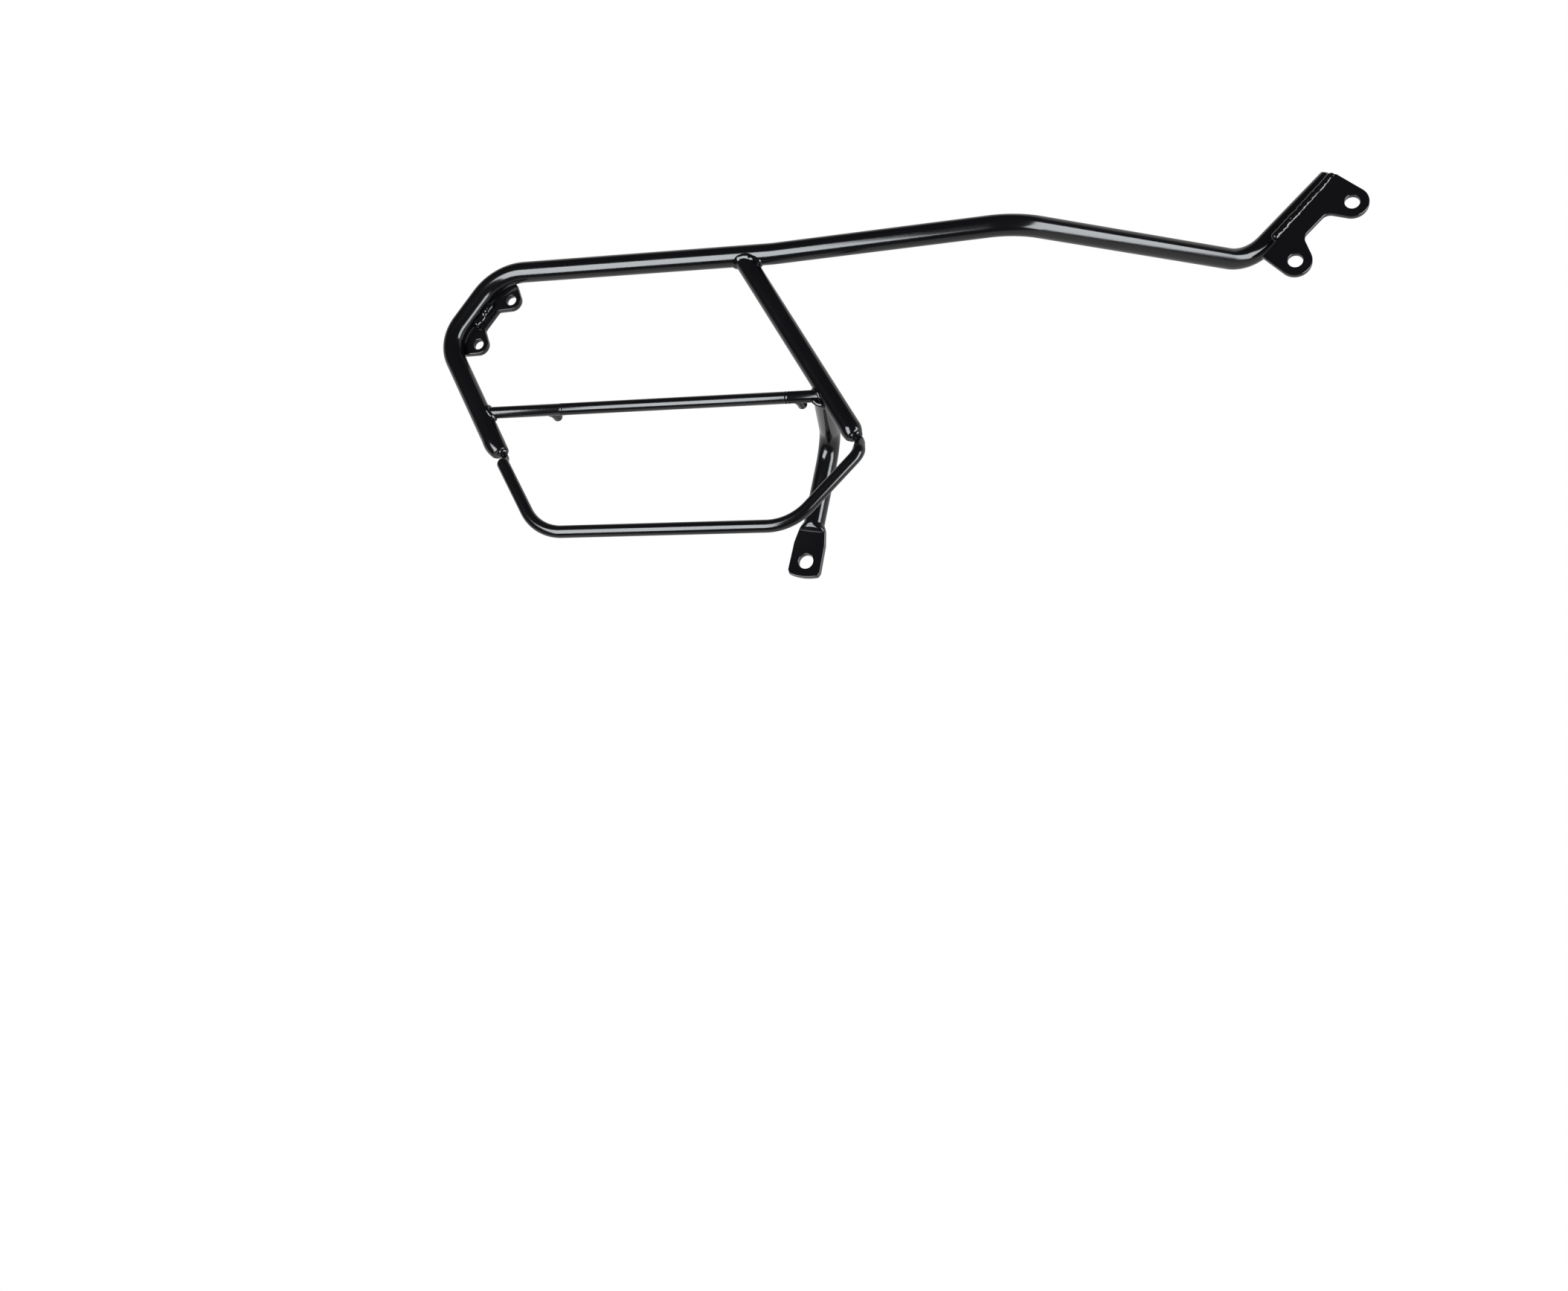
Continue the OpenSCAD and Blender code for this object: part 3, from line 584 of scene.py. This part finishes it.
def add_stay():
    """Bent tube, squeezed to a round shoulder at its lower end."""
    root_inset = 4.0
    lead = 8.0
    fullness = 2.4
    squareness = 3
    full = knee + stay_dir * STAY_LENGTH
    root = stay_root + (knee - stay_root).normalized() * root_inset
    tube = carried_rings(bent_line([root, knee, full], [0, KNEE_R, 0]), TUBE_R)
    skin("stay_tube", tube, black, ["stay"], ends=False)
    # The squeeze starts anew with its seam on the tab's side, so that it keeps its corners
    squeeze = []
    for share in SQUEEZE_SHARES:
        left = math.sqrt(max(0.0, 1 - share ** fullness))
        wide = TUBE_R + (SQUEEZE_HALF_WIDTH - TUBE_R) * math.sin(share * math.pi / 2)
        thick = TAB_T / 2 + (TUBE_R - TAB_T / 2) * left
        power = 2 / (2 + squareness * (1 - left))
        spot = full + stay_dir * SQUEEZE_LENGTH * share
        ring = []
        for t in turns(AROUND):
            c, s = math.cos(t), math.sin(t)
            ring.append(spot + stay_side * wide * math.copysign(abs(c) ** power, c)
                        + Y_WAY * thick * math.copysign(abs(s) ** power, s))
        squeeze.append(ring)
    first_ring = carried_rings([full - stay_dir * lead, full], TUBE_R, first=stay_side)[1]
    if (first_ring[AROUND // 4] - full).dot(Y_WAY) < 0:
        squeeze = reversed_rings(squeeze)
    skin("stay_squeeze", [first_ring] + squeeze[1:], black)


def flat_piece(name, outline, holes, hole_r, thickness, origin, u, v, node_names, rim):
    """Plate with drilled holes and rounded rims, its drawing laid along u and v about an origin."""
    data = bpy.data.curves.new(name, "CURVE")
    data.dimensions = "2D"
    data.fill_mode = "BOTH"
    data.extrude = thickness / 2 - rim
    data.bevel_depth = rim
    data.offset = -rim
    data.bevel_resolution = 2
    borders = [outline]
    for x, y in holes:
        borders.append([(x + hole_r * math.cos(t), y + hole_r * math.sin(t)) for t in turns(AROUND)])
    for border in borders:
        line = data.splines.new("POLY")
        line.points.add(len(border) - 1)
        for point, (x, y) in zip(line.points, border):
            point.co = (x, y, 0, 1)
        line.use_cyclic_u = True
    drawn = bpy.data.objects.new(name + "_line", data)
    scene.collection.objects.link(drawn)
    bpy.context.view_layer.update()
    mesh = bpy.data.meshes.new_from_object(drawn.evaluated_get(bpy.context.evaluated_depsgraph_get()))
    bpy.data.objects.remove(drawn)
    face = u.cross(v)
    for vert in mesh.vertices:
        x, y, z = vert.co
        vert.co = (origin + u * x + v * y + face * z) * MM
    mesh.name = name
    settle(name, mesh, black, node_names, sharp=28)


def touch(p, c, r, turn):
    """Place where a line from p touches a circle about c."""
    a = math.atan2(p[1] - c[1], p[0] - c[0]) + turn * math.acos(r / math.dist(p, c))
    return (c[0] + r * math.cos(a), c[1] + r * math.sin(a))


def rounded(w, p, q, r):
    """Places that round the corner at w, between its edges toward p and q."""
    w, p, q = Vector(w), Vector(p), Vector(q)
    to_p, to_q = (p - w).normalized(), (q - w).normalized()
    half = to_p.angle(to_q) / 2
    centre = w + (to_p + to_q).normalized() * r / math.sin(half)
    start = w + to_p * r / math.tan(half) - centre
    end = w + to_q * r / math.tan(half) - centre
    a = math.atan2(start.y, start.x)
    sweep = (math.atan2(end.y, end.x) - a + math.pi) % (2 * math.pi) - math.pi
    steps = max(2, math.ceil(abs(sweep) / math.radians(ROUND_STEP)))
    return [(centre.x + r * math.cos(a + sweep * k / steps), centre.y + r * math.sin(a + sweep * k / steps))
            for k in range(steps + 1)]


def ear(c, r, start, end):
    """Outer round of an ear, from one place on it to another, turning left."""
    a = math.atan2(start[1] - c[1], start[0] - c[0])
    sweep = (math.atan2(end[1] - c[1], end[0] - c[0]) - a) % (2 * math.pi)
    steps = math.ceil(sweep / math.radians(ROUND_STEP))
    return [(c[0] + r * math.cos(a + sweep * k / steps), c[1] + r * math.sin(a + sweep * k / steps))
            for k in range(steps + 1)]


def eared_outline(pitch, r, waist, waist_r, corners, roots, corner_r):
    """Outline of a bracket plate, from the low ear round to the high one."""
    low, high = (0, 0), (pitch, 0)
    low_inner, high_inner = touch(waist[0], low, r, -1), touch(waist[1], high, r, 1)
    low_outer, high_outer = touch(corners[0], low, r, 1), touch(corners[1], high, r, -1)
    return (ear(low, r, low_outer, low_inner) + rounded(waist[0], low_inner, waist[1], waist_r)
            + rounded(waist[1], waist[0], high_inner, waist_r) + ear(high, r, high_inner, high_outer)
            + rounded(corners[1], high_outer, (roots + [corners[0]])[0], corner_r) + roots + [corners[0]])


def add_plates():
    """The two bracket plates, the front one about the origin and the rear one beside the diagonal."""
    front = eared_outline(FRONT_PITCH, FRONT_EAR_R, FRONT_WAIST, FRONT_WAIST_R, FRONT_CORNERS, [],
                          FRONT_CORNER_R)
    flat_piece("front_plate", front, [(0, 0), (FRONT_PITCH, 0)], FRONT_HOLE_R, PLATE_T, Vector((0, 0, 0)),
               up(FRONT_ANGLE), up(FRONT_ANGLE + 90), ["front_bracket"], PLATE_RIM)
    rear = eared_outline(REAR_PITCH, REAR_EAR_R, REAR_WAIST, REAR_WAIST_R, REAR_CORNERS, REAR_ROOTS,
                         REAR_CORNER_R)
    origin = (low_bend + up(DIAGONAL_ANGLE) * REAR_HOLE_START + down(90 - DIAGONAL_ANGLE) * REAR_HOLE_OUT
              + Vector((0, REAR_PLATE_IN + PLATE_T / 2, 0)))
    flat_piece("rear_plate", rear, [(0, 0), (REAR_PITCH, 0)], REAR_HOLE_R, PLATE_T, origin,
               up(DIAGONAL_ANGLE), up(DIAGONAL_ANGLE + 90), ["rear_bracket"], PLATE_RIM)


def add_tab():
    """Flattened end of the stay, flared below its shoulders and crowned at its tip."""
    steps = 8
    right = [(half_width, -TAB_TOP - below) for half_width, below in TAB_HALF_WIDTHS]
    reach = math.degrees(math.asin(right[-1][0] / TAB_CROWN_R))
    arc = []
    for k in range(2 * steps + 1):
        a = math.radians(reach * (1 - k / steps))
        arc.append((TAB_CROWN_R * math.sin(a), -TAB_TIP + TAB_CROWN_R - TAB_CROWN_R * math.cos(a)))
    outline = right + arc[1:-1] + [(-x, y) for x, y in reversed(right)]
    flat_piece("stay_tab", outline, [(0, -STAY_HOLE_AT)], STAY_HOLE_R, TAB_T, knee, stay_side, -stay_dir,
               [], TAB_RIM)


def saddle(main_at, main_way, main_r, branch_at, branch_way, branch_r):
    """Closed line on which a round branch meets a round main tube."""
    first = Y_WAY if abs(branch_way.y) < NEAR_Y else Z_WAY
    first = (first - branch_way * first.dot(branch_way)).normalized()
    second = branch_way.cross(first)
    a = branch_way - main_way * branch_way.dot(main_way)
    line = []
    for foot in circle(branch_at, first, second, branch_r, SADDLE_PLACES):
        b = (foot - main_at) - main_way * (foot - main_at).dot(main_way)
        ab, aa = a.dot(b), a.dot(a)
        square = max(0.0, ab * ab - aa * (b.dot(b) - main_r ** 2))
        line.append(foot + branch_way * (math.sqrt(square) - ab) / aa)
    return line


def lumpy(spots, r, pitch, seed, loop, depth, wobble, uneven):
    """Rings of a weld bead: overlapping drops along a line, each a little out of place."""
    rings = []
    gone = 0.0
    count = len(spots)
    for i, spot in enumerate(spots):
        ahead = spots[(i + 1) % count] if loop or i < count - 1 else spot
        behind = spots[i - 1] if loop or i > 0 else spot
        way = (ahead - behind).normalized()
        gone += (spot - behind).length if i else 0
        drop = abs(math.sin(math.pi * gone / pitch))
        size = r * (1 - depth * (1 - drop) ** 1.5)
        shift = noise.noise_vector(Vector((gone / pitch * 0.6, seed, 0))) * wobble
        size *= 1 + 1.4 * uneven * noise.noise(Vector((gone / pitch * 0.9, seed, 5.0)))
        seam = Y_WAY if abs(way.y) < NEAR_Y else Z_WAY
        seam = (seam - way * seam.dot(way)).normalized()
        other = way.cross(seam)
        if not loop:
            # An open bead rounds off over its last eight rings
            size *= math.sqrt(max(0.02, min(1.0, (min(i, count - 1 - i) + 0.3) / 8)))
        ring = []
        for t in turns(BEAD_AROUND):
            out = seam * math.cos(t) + other * math.sin(t)
            lump = 1 + uneven * noise.noise((spot + out * r) * 0.45 + Vector((seed, 0, 0)))
            ring.append(spot + shift + out * size * lump)
        rings.append(ring)
    return rings


def bead(name, spots, node_name, r, pitch, seed, loop=False, depth=0.06, wobble=0.4, uneven=0.08):
    rings = lumpy(spots, r, pitch, seed, loop, depth, wobble, uneven)
    skin(name, rings, bead_black, [node_name], ends=not loop, loop=loop, sharp=60)


def between(a, b):
    """Places of a straight bead from a to b."""
    count = max(2, round((b - a).length / BEAD_STEP))
    return [a + (b - a) * (k / count) for k in range(count + 1)]


def add_mound():
    """Broad bead on the rail around the strut's root, an oval laid round the rail's underside."""
    half_length = 13.4
    half_turn = math.radians(74)
    high = 2.6
    sink = 0.3
    drops = 7
    shares = (1.0, 0.97, 0.92, 0.86, 0.78, 0.68, 0.55, 0.4, 0.2)
    middle = strut_top + strut_dir * TUBE_R / rise(STRUT_ANGLE)
    rings = []
    for share in shares:
        ring = []
        for t in turns(120):
            drop = abs(math.sin(t * drops + 2 * share))
            edge = 1 + 0.015 * drop + 0.06 * noise.noise(Vector((math.cos(t) * 1.6, math.sin(t) * 1.6, 2.0)))
            turn = half_turn * share * math.sin(t) * edge
            r = TUBE_R - sink + high * math.sqrt(1 - share ** 5) * (0.97 + 0.04 * drop)
            ring.append(Vector((middle.x + half_length * share * math.cos(t) * edge,
                                strut_top.y - r * math.sin(turn), strut_top.z - r * math.cos(turn))))
        rings.append(ring)
    skin("bead_strut_top", rings, bead_black, ["weld_strut_top"], sharp=70)


def on_front_plate(place, y):
    """Point of the front plate's drawing, with its Y."""
    along, across = place
    return up(FRONT_ANGLE) * along + up(FRONT_ANGLE + 90) * across + Vector((0, y, 0))


def add_bracket_beads():
    """Two runs along the front plate's edge, one on each face, and one in the rear plate's corner."""
    front_run = [on_front_plate(place, FRONT_BEAD_Y) for place in FRONT_BEAD]
    back_run = [on_front_plate(place, BACK_BEAD_Y) for place in BACK_BEAD]
    bead("bead_front_bracket", between(*front_run), "weld_front_bracket", r=3.9, pitch=2.6, seed=1.0,
         depth=0.025, wobble=0.8, uneven=0.03)
    bead("bead_front_bracket_back", between(*back_run), "weld_front_bracket", r=3.2, pitch=2.6, seed=2.0,
         depth=0.025, wobble=0.2, uneven=0.03)
    diagonal = up(DIAGONAL_ANGLE)
    outward = down(90 - DIAGONAL_ANGLE)
    start = (low_bend + diagonal * (REAR_HOLE_START + REAR_BEAD_START) + outward * REAR_BEAD_OUT
             + Vector((0, REAR_BEAD_Y, 0)))
    bead("bead_rear_bracket", between(start, start + diagonal * REAR_BEAD_LENGTH), "weld_rear_bracket",
         r=3.2, pitch=3.0, seed=7.0, depth=0.05, wobble=1.0, uneven=0.04)


def add_tube_beads():
    """Beads around the ends of the cross rod, the stay and the pegs."""
    x = Vector((1, 0, 0))
    # The stay's line starts just inside its tube
    stay_share = 0.995
    bead("bead_rod_rear", saddle(rod_rear, leg_dir, TUBE_R, rod_rear, x, ROD_R), "weld_rod_rear",
         r=2.2, pitch=3.6, seed=4.0, loop=True)
    bead("bead_rod_front", saddle(rod_front, strut_dir, STRUT_R, rod_front, -x, ROD_R), "weld_rod_front",
         r=2.0, pitch=3.6, seed=5.0, loop=True)
    stay_way = (knee - stay_root).normalized()
    bead("bead_stay", saddle(rod_front, strut_dir, STRUT_R, stay_root, stay_way, TUBE_R * stay_share),
         "weld_stay", r=2.3, pitch=3.6, seed=6.0, loop=True)
    for name, at, seed in (("peg_rear", peg_rear_x, 8.0), ("peg_front", peg_front_x, 9.0)):
        place = Vector((at, rod_rear.y, rod_rear.z))
        bead("bead_" + name, saddle(place, x, ROD_R, place, Y_WAY, PEG_R), "weld_" + name,
             r=1.0, pitch=2.2, seed=seed, loop=True)


def add_hoop_beads():
    """Beads around the hoop's two turned ends, on the swaged tips."""
    lift = 0.3
    clear = 0.2
    # The front bead is centred on the strut's own axis
    front_centre = strut_tip_centre + strut_side * STRUT_TIP_SHIFT
    for name, centre, way, r, seed in (("rear", leg_tip_centre, leg_dir, 3.0, 10.0),
                                       ("front", front_centre, strut_dir, 4.0, 11.0)):
        ring = circle(centre + way * lift, Y_WAY, way.cross(Y_WAY), r + clear, 90)
        bead("bead_hoop_" + name, ring, "weld_hoop_" + name, r=1.9, pitch=3.2, seed=seed, loop=True,
             uneven=0.15)


scene.view_settings.view_transform = "Standard"
add_camera()
light_world()
add_floor()
lamp("box_left", azimuth=-27.2, elevation=-23, width=0.99, height=1.5, watts=58)
lamp("box_right", azimuth=70, elevation=-8, width=0.8, height=1.9, watts=54)

black = coat("gloss_black", roughness=0.15, peel_scale=340.0, peel_height=0.000004, speckle=0.15)
bead_black = coat("gloss_bead", roughness=0.1, peel_scale=420.0, peel_height=0.00001, speckle=0.2)
for name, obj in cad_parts.items():
    mat = bead_black if name.startswith("weld") else black
    if not obj.data.materials:
        obj.data.materials.append(mat)
    for i in range(len(obj.data.materials)):
        obj.data.materials[i] = mat

add_rail()
add_strut()
add_cross_rod()
add_hoop()
add_neck()
add_stay()
add_tab()
add_bracket_beads()
add_mound()
add_tube_beads()
add_hoop_beads()
add_plates()
